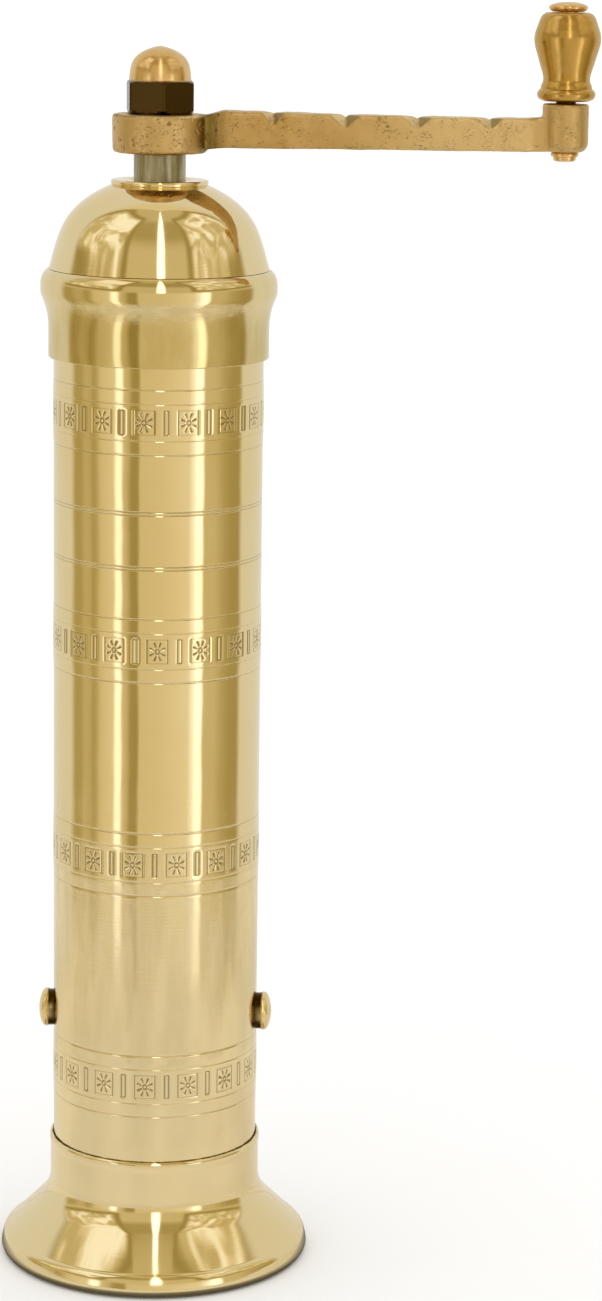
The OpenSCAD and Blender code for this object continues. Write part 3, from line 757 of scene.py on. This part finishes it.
def build_shaft():
    """Shaft with its plain length, driving square and threaded ends."""
    r = SHAFT_HIGH[0]
    hub_z, hub_top = ARM_LOW[2], NUT_LOW[2]
    low, top = SHAFT_LOW[2], SHAFT_HIGH[2]
    cone_low, cone_top = (corner[2] for corner in span("inner_burr"))
    nut_low = span("burr_nut")[0][2]
    bm = bmesh.new()
    segments = 72
    socket = [(0.0, low + 2.4), (2.45, low + 2.4), (2.45, low), (3.2, low), (3.4, low + 0.2)]
    turned(bm, socket + [(3.4, nut_low)], segments=segments, closed=False)
    skin(bm, thread_rings(4.0, THREAD_PITCH, nut_low, cone_low, 0.45))
    turned(bm, [(3.4, nut_low), (3.87, nut_low)], segments=segments, closed=False)
    body = [(3.97, cone_low), (4.0, cone_top), (r - 0.3, cone_top), (r, cone_top + 0.3)]
    body += [(r, cone_top + (hub_z - 0.4 - cone_top) * k / 12) for k in range(1, 13)]
    body += [(r - 0.05, hub_z - 0.05)]
    turned(bm, body, segments=segments, closed=False)
    half = 4.0
    square = []
    for z, shrink in ((hub_z - 0.05, 0.0), (hub_top - 1.0, 0.0), (hub_top - 0.6, 0.35)):
        ring = []
        for i in range(segments):
            a = 2 * math.pi * i / segments
            reach = half / max(abs(math.cos(a)), abs(math.sin(a)))
            d = min(r - 0.05, reach) - shrink
            ring.append((d * math.cos(a), d * math.sin(a), z))
        square.append(ring)
    skin(bm, square)
    skin(bm, thread_rings(3.95, THREAD_PITCH, hub_top - 0.6, top, 0.5))
    turned(bm, [(2.9, top), (0.0, top)], segments=segments, closed=False)
    return finish_mesh(bm, "shaft_rod")


def painted_shade_at(p, normal):
    """How much painted shade the crank gets: darkest in the concave neck beside the hub, and on a notch's
    far slope, which faces away from the light.
    """
    neck = ease(p.x, 7.0, 8.6) * (1 - ease(p.x, 9.5, 14.5))
    slope = ease(normal.z, 0.3, 0.6) * ease(-normal.x, 0.22, 0.45)
    return max(0.85 * neck, 0.75 * slope) * (1 - ease(p.x, CRANK_RADIUS - 8, CRANK_RADIUS - 6))


def filed_and_lit_at(p, normal):
    """How pale the crank is drawn: a painted highlight on a notch's near slope, which faces the light, and
    filing that grows towards the knob.
    """
    slope = ease(normal.z, 0.3, 0.6) * ease(normal.x, 0.22, 0.45)
    length = 0.75 * ease(p.x, 25, 62) * (1 - ease(p.x, CRANK_RADIUS - 8, CRANK_RADIUS - 5))
    ends = 0.4 * (1 - ease(p.x, 6, 9)) + 0.35 * ease(p.x, CRANK_RADIUS - 8, CRANK_RADIUS - 5)
    return max(slope, length, ends)


def cast_skin(node, name, voxel, lumps, pits):
    """A CAD solid made over as a casting: soft edges, a slightly lumpy face and small pits."""
    piece = bpy.data.objects.new(name, frame["nodes"][node].data.copy())
    bpy.context.scene.collection.objects.link(piece)
    remesh = piece.modifiers.new("remesh", "REMESH")
    remesh.mode = "VOXEL"
    remesh.voxel_size = voxel * MM
    soften = piece.modifiers.new("soften", "SMOOTH")
    soften.factor = 0.5
    soften.iterations = 5
    graph = bpy.context.evaluated_depsgraph_get()
    mesh = bpy.data.meshes.new_from_object(piece.evaluated_get(graph))
    piece.modifiers.clear()
    old = piece.data
    piece.data = mesh
    mesh.name = name
    bpy.data.meshes.remove(old)
    mesh.shade_smooth()
    depths = []
    moves = []
    for vertex in mesh.vertices:
        p = vertex.co / MM
        swell = lumps * noise.noise(p * 0.22) + 0.4 * lumps * noise.noise(p * 0.7)
        field = noise.noise(p * 0.16 + Vector((7, 0, 0)))
        spot = noise.noise(Vector((p.x * 1.1, p.y * 1.1, p.z * 1.5)))
        pit = ease(spot, 0.36, 0.56) * ease(field, 0.0, 0.3) * (1 - 0.6 * ease(p.x, 30, 60))
        moves.append(vertex.normal * (swell - pits * pit - 0.03) * MM)
        depths.append(pit)
    for vertex, move in zip(mesh.vertices, moves):
        vertex.co += move
    store(piece, "marks_and_shade", depths)
    # The first share is painted shade on the neck and far notch slopes; the second is filing along the arm
    # plus a painted highlight on the near notch slopes
    for mark_name, share_at in (("olive", painted_shade_at), ("filed_and_lit", filed_and_lit_at)):
        store(piece, mark_name, [share_at(v.co / MM, v.normal) for v in mesh.vertices])
    return piece


def build_acorn_nut():
    """Domed nut: hexagon with chamfered corners, and a dome that ends in a slight point."""
    low, top = NUT_LOW[2], NUT_HIGH[2]
    flat = 12.7 / 2
    corner = flat / math.cos(math.pi / 6)
    hex_h = (top - low) / 2
    dome_h = top - low - hex_h
    base = flat - 0.2
    turn = math.radians(-82.3)
    segments = 240
    rows = [(0.0, flat - 0.12), (0.12, flat - 0.02), (0.35, flat + 0.35), (0.75, corner + 0.05)]
    rows += [(z, 99.0) for z in (0.9, 2.5, hex_h - 2.5, hex_h - 0.9)]
    rows += [(hex_h - 0.72, corner + 0.05), (hex_h - 0.5, corner - 0.32), (hex_h - 0.3, corner - 0.66)]
    rows += [(hex_h - 0.1, base + 0.12), (hex_h, base)]
    rows += [(hex_h + u * dome_h, base * (0.5 * crown(u, 0.16, 5) + 0.5 * (1 - u**3.0) ** 0.62))
             for u in [math.sin(math.pi / 2 * k / 30) for k in range(1, 29)]]
    rows += [(top - low - 0.02, 0.3), (top - low, 0.0)]
    rings = [[(3.9 * math.cos(2 * math.pi * i / segments), 3.9 * math.sin(2 * math.pi * i / segments),
               z) for i in range(segments)] for z in (low + 9, low)]
    for height, limit in rows:
        ring = []
        for i in range(segments):
            a = 2 * math.pi * i / segments
            off = (a - turn + math.pi / 6) % (math.pi / 3) - math.pi / 6
            side = flat / math.cos(math.pi / 6 - abs(off))
            r = min(limit, corner - 0.12, side)
            ring.append((r * math.cos(a), r * math.sin(a), low + height))
        rings.append(ring)
    bm = bmesh.new()
    skin(bm, rings)
    piece = finish_mesh(bm, "acorn_nut_turned", sharp=24)
    # Painted dark reflection: the polished flats of the hexagon are drawn near-black for the dark room they
    # mirror
    mark(piece, "marks_and_shade", lambda p: 0.97 * (1 - ease(p.z - low, hex_h - 0.35, hex_h + 0.15)))
    return piece


def knob_outline():
    """Pear-shaped knob with a bead at its foot."""
    belly, low, top = KNOB_HIGH[0] - CRANK_RADIUS - 0.02, KNOB_LOW[2], KNOB_HIGH[2]
    waist, bead = 4.65, 5.75
    pear = smooth_line([(bead, low + 1.5), (waist + 0.35, low + 3.0), (waist, low + 4.6),
                        ((waist + belly) / 2, low + 8.0), (belly - 0.02, low + 11.7),
                        (belly - 0.6, low + 14.6), (belly - 2.1, top - 0.1), (0.0, top)], 12)
    bore = 2.08
    return ([(bore, low), (bead - 1.2, low)] + arc(bead - 1.2, low + 1.3, 1.2, -80, 62, 14)
            + pear + [(belly - 2.3, top), (bore, top)])


def pin_outline():
    """Rivet pin: peened tail, shank and button head."""
    head_r = PIN_HIGH[0] - CRANK_RADIUS
    head_h = 1.9
    top, low = PIN_HIGH[2], PIN_LOW[2]
    head_z = top - head_h
    end_z = low + 1.8
    points = [(0.0, low), (1.75, low), (2.1, low + 0.15), (2.25, low + 0.45), (2.27, low + 0.85)]
    points += [(2.6, low + 0.95), (2.73, low + 1.15), (2.75, low + 1.5), (2.55, end_z), (2.0, end_z)]
    points += [(2.0, KNOB_LOW[2] + rise) for rise in (-1.5, -1.0, 1.0, 1.5)]
    points += [(2.0, head_z), (head_r - 0.75, head_z)]
    points += smooth_line([(head_r - 1.4, head_z - 0.1), (head_r - 0.75, head_z),
                           (head_r - 0.2, head_z + 0.4), (head_r, head_z + 0.85),
                           (head_r - 0.3, head_z + 1.25), (head_r - 1.2, head_z + 1.62),
                           (1.2, top - 0.02), (0.0, top)], 6)
    return points + [(1.2, top - 0.02), (0.0, top)]


def round_knob_axis(outline):
    """An outline turned round the knob's axis."""
    bm = bmesh.new()
    turned(bm, outline, centre=(CRANK_RADIUS, 0.0), segments=160, closed=False)
    return bm


# -------------------- cartridge


def build_spring():
    """Wound spring with closed end turns."""
    wire = 0.6
    mid = SPRING_HIGH[0] - wire
    low, high = SPRING_LOW[2] + wire, SPRING_HIGH[2] - wire
    turns, per_turn, sides = 4.0, 40, 14
    rings = []
    steps = int(turns * per_turn)
    for k in range(steps + 1):
        t = k / steps
        a = 2 * math.pi * turns * t
        z = low + (high - low) * ease(t, 0.08, 0.92)
        ring = []
        for i in range(sides):
            b = 2 * math.pi * i / sides
            r = mid + wire * math.cos(b)
            ring.append((r * math.cos(a), r * math.sin(a), z + wire * math.sin(b)))
        rings.append(ring)
    bm = bmesh.new()
    skin(bm, rings, caps=True)
    return finish_mesh(bm, "wound_spring", sharp=60)


# -------------------- studio


# Strips of light and dark that the metal mirrors: direction in degrees, measured to the right
# from straight ahead of the mill, with the brightness there
LOW_STRIPS = [
    (-180, 0.80), (-126, 0.80), (-118, 0.62), (-106, 0.60), (-98, 0.50), (-91, 0.52),
    (-85, 0.64), (-78, 0.62), (-73, 0.50), (-69, 0.56), (-63, 0.78), (-47, 0.90),
    (-43, 1.60), (-39, 1.55), (-36, 0.78), (-31, 0.66), (-27, 0.44), (-20, 0.42), (-17, 0.78),
    (4, 0.82), (36, 0.95), (43, 1.30), (46, 1.90), (51, 1.85),
    (55, 0.72), (68, 0.70), (79, 0.55), (90, 0.46), (108, 0.44), (116, 0.66),
    (124, 0.80), (180, 0.80),
]


# Warmth of the light by its brightness: the dim parts of the room are brown, the lamps white
TINTS = [
    (0.2, (1, 0.76, 0.28)), (0.35, (1, 0.80, 0.31)), (0.49, (1, 0.83, 0.385)),
    (0.87, (1, 0.90, 0.68)), (1.0, (1, 0.93, 0.80)), (1.16, (1, 1, 1)),
]
TINT_TOP = 1.4


class Sky(Wiring):
    """The world's nodes, with short ways to paint brightness by direction."""

    def __init__(self, tree):
        super().__init__(tree)
        split = self.add("ShaderNodeSeparateXYZ", {"Vector": self.place["Generated"]})
        self.x, self.y, self.z = (split.outputs[axis] for axis in "XYZ")

    def step(self, source, low, high, out_low=0.0, out_high=1.0):
        """Like ramp, but smooth at both ends."""
        return self.ramp(source, low, high, out_low, out_high, "SMOOTHSTEP")

    def stops(self, source, stops):
        """Colour by value, straight from one (value, colour) to the next."""
        node = self.add("ShaderNodeValToRGB", {"Fac": source})
        elements = node.color_ramp.elements
        elements.remove(elements[1])
        elements[0].position = stops[0][0]
        for value, _ in stops[1:]:
            elements.new(value)
        for element, (_, colour) in zip(elements, stops):
            element.color = (*colour, 1)
        return node.outputs["Color"]

    def blend(self, share, first, second):
        """Goes from the first value to the second as share goes from 0 to 1."""
        return self.maths("MULTIPLY_ADD", share, self.maths("SUBTRACT", second, first), first)

    def box(self, azimuth, height, at, wide, rise, tall, soft):
        """1 inside a soft-edged window in the sky, centred on an azimuth and a height, in degrees."""
        across = self.maths("ABSOLUTE", self.maths("SUBTRACT", azimuth, at))
        up = self.maths("ABSOLUTE", self.maths("SUBTRACT", height, rise))
        side = self.step(across, wide / 2, wide / 2 + soft, 1.0, 0.0)
        end = self.step(up, tall / 2, tall / 2 + soft, 1.0, 0.0)
        return self.maths("MULTIPLY", side, end)


def build_sky(studio):
    """Studio light: white to the eye and to the floor, with strips and soft boxes for the metal."""
    world = bpy.data.worlds.new("studio")
    bpy.context.scene.world = world
    world.use_nodes = True
    sky = Sky(world.node_tree)
    back = sky.maths("MULTIPLY", sky.y, -1.0)
    azimuth = sky.maths("MULTIPLY", sky.maths("ARCTAN2", sky.x, back), 180 / math.pi)
    height = sky.maths("MULTIPLY", sky.maths("ARCSINE", sky.z), 180 / math.pi)
    turn = sky.maths("DIVIDE", sky.maths("ADD", azimuth, 180.0), 360.0)
    peak = max(value for _, value in LOW_STRIPS)
    strips = sky.stops(turn, [((at + 180) / 360, (value / peak,) * 3) for at, value in LOW_STRIPS])
    strips = sky.maths("MULTIPLY", strips, peak)
    swirl = sky.add("ShaderNodeTexNoise", {
        "Vector": sky.place["Generated"], "Scale": 3.2, "Detail": 2.5, "Roughness": 0.5, "Distortion": 1.2})
    cloth = sky.step(swirl.outputs["Fac"], 0.36, 0.66, 0.66, 1.2)
    above = sky.step(height, 28.0, 44.0, 0.72, 0.48)
    above = sky.blend(sky.step(height, 62.0, 74.0), above, 0.66)
    for at in (-74, 74):
        above = sky.blend(sky.box(azimuth, height, at, 74, 43, 56, 5), above, 0.40)
        above = sky.blend(sky.box(azimuth, height, at, 58, 43, 42, 7), above, cloth)
    side = sky.step(sky.maths("ABSOLUTE", azimuth), 110, 120)
    above = sky.blend(side, above, 0.84)
    above = sky.blend(sky.box(azimuth, height, 4, 5, 52, 90, 3), above, 2.6)
    level = sky.blend(sky.step(height, 4.0, 12.0), strips, above)
    tint = sky.stops(sky.maths("DIVIDE", level, TINT_TOP),
                     [(value / TINT_TOP, colour) for value, colour in TINTS])
    warm = sky.add("ShaderNodeVectorMath", {0: tint, "Scale": level}, operation="SCALE")
    wall = sky.step(sky.y, 0.18, 0.34)
    mirrored = sky.mix(wall, warm.outputs["Vector"], studio.backdrop)
    path = sky.add("ShaderNodeLightPath")
    shown = sky.mix(path.outputs["Is Glossy Ray"], (studio.floor_light,) * 3, mirrored)
    light = sky.add("ShaderNodeBackground", {"Color": shown})
    sky.add("ShaderNodeOutputWorld", {"Surface": light.outputs["Background"]})


def shade(colour, share):
    """A colour made darker or paler by a share, and at most white."""
    return tuple(min(1.0, share * c) for c in colour)


def floor_material(colour):
    """A matt white floor."""
    s = Shader("floor_white", metallic=0.0)
    s.colour(s.mix(s.ramp(s.noise(30, 3), 0.3, 0.7, 0.0, 0.5), colour, shade(colour, 0.985)))
    s.bsdf.inputs["Roughness"].default_value = 0.9
    s.bsdf.inputs["Specular IOR Level"].default_value = 0.1
    return s.material


def table_material(colour):
    """A pale table with a painted contact shadow close to the mill's foot, fading out towards its edge."""
    s = Shader("table_pale", metallic=0.0)
    far = s.add("ShaderNodeVectorMath", {0: s.place["Object"]}, operation="LENGTH").outputs["Value"]
    # Painted contact shadow: dark at the foot's rim, pale 13 mm out
    near = s.ramp(far, FOOT_HIGH[0] * MM, FOOT_HIGH[0] * MM + 0.013)
    cloth = s.ramp(s.noise(9, 3, 0.5), 0.38, 0.62)
    pale = s.mix(cloth, shade(colour, 0.93), shade(colour, 1.09))
    s.colour(s.mix(near, shade(colour, 0.12), pale))
    s.rough(s.ramp(s.noise(30, 3), 0.3, 0.7, 0.88, 0.92))
    s.bsdf.inputs["Specular IOR Level"].default_value = 0.1
    edge = s.maths("ADD", far, s.ramp(s.noise(14, 3, 0.6), 0.3, 0.7, -0.05, 0.05))
    clear = s.add("ShaderNodeBsdfTransparent")
    blend = s.add("ShaderNodeMixShader", {
        0: s.ramp(edge, 0.2, 0.42), 1: s.bsdf.outputs["BSDF"], 2: clear.outputs["BSDF"]})
    s.tree.links.new(blend.outputs["Shader"], s.out.inputs["Surface"])
    return s.material


def flat_disc(name, radius, height, material):
    """A flat round piece of the studio, in metres."""
    bm = bmesh.new()
    bmesh.ops.create_circle(bm, cap_ends=True, radius=radius, segments=96,
                            matrix=Matrix.Translation((0, 0, height)))
    mesh = bpy.data.meshes.new(name)
    bm.to_mesh(mesh)
    bm.free()
    mesh.materials.append(material)
    disc = bpy.data.objects.new(name, mesh)
    bpy.context.scene.collection.objects.link(disc)
    return disc


def build_floor(studio):
    """A wide floor for the eye, and a table that only the metal mirrors."""
    wide = flat_disc("floor", 6.0, -0.0001, floor_material(studio.floor))
    wide.visible_glossy = False
    table = flat_disc("table", studio.table_radius, -0.0002, table_material(studio.table))
    table.visible_camera = False
    table.visible_shadow = False
    table.visible_diffuse = False


def build_camera(studio):
    """Camera where the studio's settings put it."""
    lens = bpy.data.cameras.new("camera")
    lens.lens = studio.lens
    lens.clip_start = 0.01
    camera = bpy.data.objects.new("camera", lens)
    bpy.context.scene.collection.objects.link(camera)
    look = Euler((math.pi / 2 - studio.tilt, 0, 0)).to_matrix().to_4x4()
    roll = Matrix.Rotation(studio.roll, 4, "Z")
    camera.matrix_world = Matrix.Translation(studio.stand) @ look @ roll
    bpy.context.scene.camera = camera


# -------------------- operators


class MILL_OT_body(bpy.types.Operator):
    """Build the tube, the foot and the side screws"""

    bl_idname = "mill.body"
    bl_label = "Build body and foot"

    def execute(self, context):
        sizes = context.scene.mill_sizes
        fit_out(build_tube(sizes), "mill_body", "polished_brass", "body_tube")
        fit_out(build_foot(), "mill_body", "polished_brass", "foot")
        for node in ("side_screw_right", "side_screw_left"):
            screw = build_side_screw(node)
            mark(screw, "bright", lambda p: 0.85)
            fit_out(screw, "mill_body", "turned_brass", node)
        return {"FINISHED"}


class MILL_OT_cartridge(bpy.types.Operator):
    """Finish the grinding parts and wind the spring"""

    bl_idname = "mill.cartridge"
    bl_label = "Finish grinding parts"

    def execute(self, context):
        for row in frame["record"]["subparts"]:
            node = frame["nodes"][row["node"]]
            node.data.materials.clear()
            node.data.materials.append(finish_of(row["material_slot"]))
            node.data.set_sharp_from_angle(angle=math.radians(30))
        fit_out(build_spring(), "thrust", "bright_steel", "pressure_spring")
        return {"FINISHED"}


class MILL_OT_lid(bpy.types.Operator):
    """Build the lid's ring, dome and bush"""

    bl_idname = "mill.lid"
    bl_label = "Build lid"

    def execute(self, context):
        sizes = context.scene.mill_sizes
        parts = (("ring_shell", lid_ring_outline(), "lid_ring"),
                 ("dome_shell", dome_outline(sizes), "lid_dome"),
                 ("bush_turned", bush_outline(), "lid_bush"))
        for name, outline, node in parts:
            bm = bmesh.new()
            turned(bm, outline, segments=288)
            piece = finish_mesh(bm, name)
            if node == "lid_ring":
                skirt_top = RING_HIGH[2] - 11
                # The skirt and the lower sweep are drawn darker, fading upwards
                mark(piece, "dull", lambda p: 0.9 - 0.6 * ease(p.z, skirt_top, skirt_top + 6))
            fit_out(piece, "lid", "polished_brass", node)
        return {"FINISHED"}


class MILL_OT_crank(bpy.types.Operator):
    """Build the shaft, the crank arm and the acorn nut"""

    bl_idname = "mill.crank"
    bl_label = "Build crank"

    def execute(self, context):
        fit_out(build_shaft(), "drive", "shaft_steel", "main_shaft")
        arm = cast_skin("crank_arm", "crank_casting", voxel=0.3, lumps=0.09, pits=0.22)
        fit_out(arm, "crank", "cast_brass", "crank_arm")
        fit_out(build_acorn_nut(), "cap_nut", "turned_brass", "acorn_nut")
        return {"FINISHED"}


class MILL_OT_knob(bpy.types.Operator):
    """Build the knob and its pin"""

    bl_idname = "mill.knob"
    bl_label = "Build knob"

    def execute(self, context):
        knob = finish_mesh(round_knob_axis(knob_outline()), "knob_turned")
        mark(knob, "handled", lambda p: 1.0)
        fit_out(knob, "knob", "turned_brass", "crank_knob")
        pin = finish_mesh(round_knob_axis(pin_outline()), "pin_turned")
        # Painted shade on the pin where it meets the knob's foot
        mark(pin, "marks_and_shade", lambda p: float(abs(p.z - KNOB_LOW[2]) < 1.2))
        fit_out(pin, "crank", "turned_brass", "knob_pin")
        return {"FINISHED"}


class MILL_OT_studio(bpy.types.Operator):
    """Build the floor, the light and the camera"""

    bl_idname = "mill.studio"
    bl_label = "Build studio"

    def execute(self, context):
        studio = context.scene.mill_studio
        build_camera(studio)
        build_floor(studio)
        build_sky(studio)
        context.scene.view_settings.view_transform = "Standard"
        return {"FINISHED"}


class MILL_PT_panel(bpy.types.Panel):
    """Lists the mill's sizes, finishes and build steps"""

    bl_label = "Pepper mill"
    bl_idname = "MILL_PT_panel"
    bl_space_type = "VIEW_3D"
    bl_region_type = "UI"
    bl_category = "Mill"

    def draw(self, context):
        scene = context.scene
        for group in (scene.mill_sizes, scene.mill_finish, scene.mill_studio):
            box = self.layout.box()
            for name in group.bl_rna.properties.keys():
                if name not in ("rna_type", "name"):
                    box.prop(group, name)
        for step in STEPS:
            self.layout.operator(step.bl_idname)


STEPS = (MILL_OT_studio, MILL_OT_cartridge, MILL_OT_body, MILL_OT_lid, MILL_OT_crank, MILL_OT_knob)
CLASSES = (MillSizes, MillFinish, MillStudio) + STEPS + (MILL_PT_panel,)


def register():
    """Makes the settings, operators and panel known."""
    for cls in CLASSES:
        bpy.utils.register_class(cls)
    bpy.types.Scene.mill_sizes = bpy.props.PointerProperty(type=MillSizes)
    bpy.types.Scene.mill_finish = bpy.props.PointerProperty(type=MillFinish)
    bpy.types.Scene.mill_studio = bpy.props.PointerProperty(type=MillStudio)


def unregister():
    for name in ("mill_sizes", "mill_finish", "mill_studio"):
        delattr(bpy.types.Scene, name)
    for cls in reversed(CLASSES):
        bpy.utils.unregister_class(cls)


def main():
    """Builds the studio and the mill."""
    register()
    bpy.ops.mill.studio()
    bpy.ops.mill.cartridge()
    bpy.ops.mill.body()
    bpy.ops.mill.lid()
    bpy.ops.mill.crank()
    bpy.ops.mill.knob()


if __name__ == "__main__":
    main()
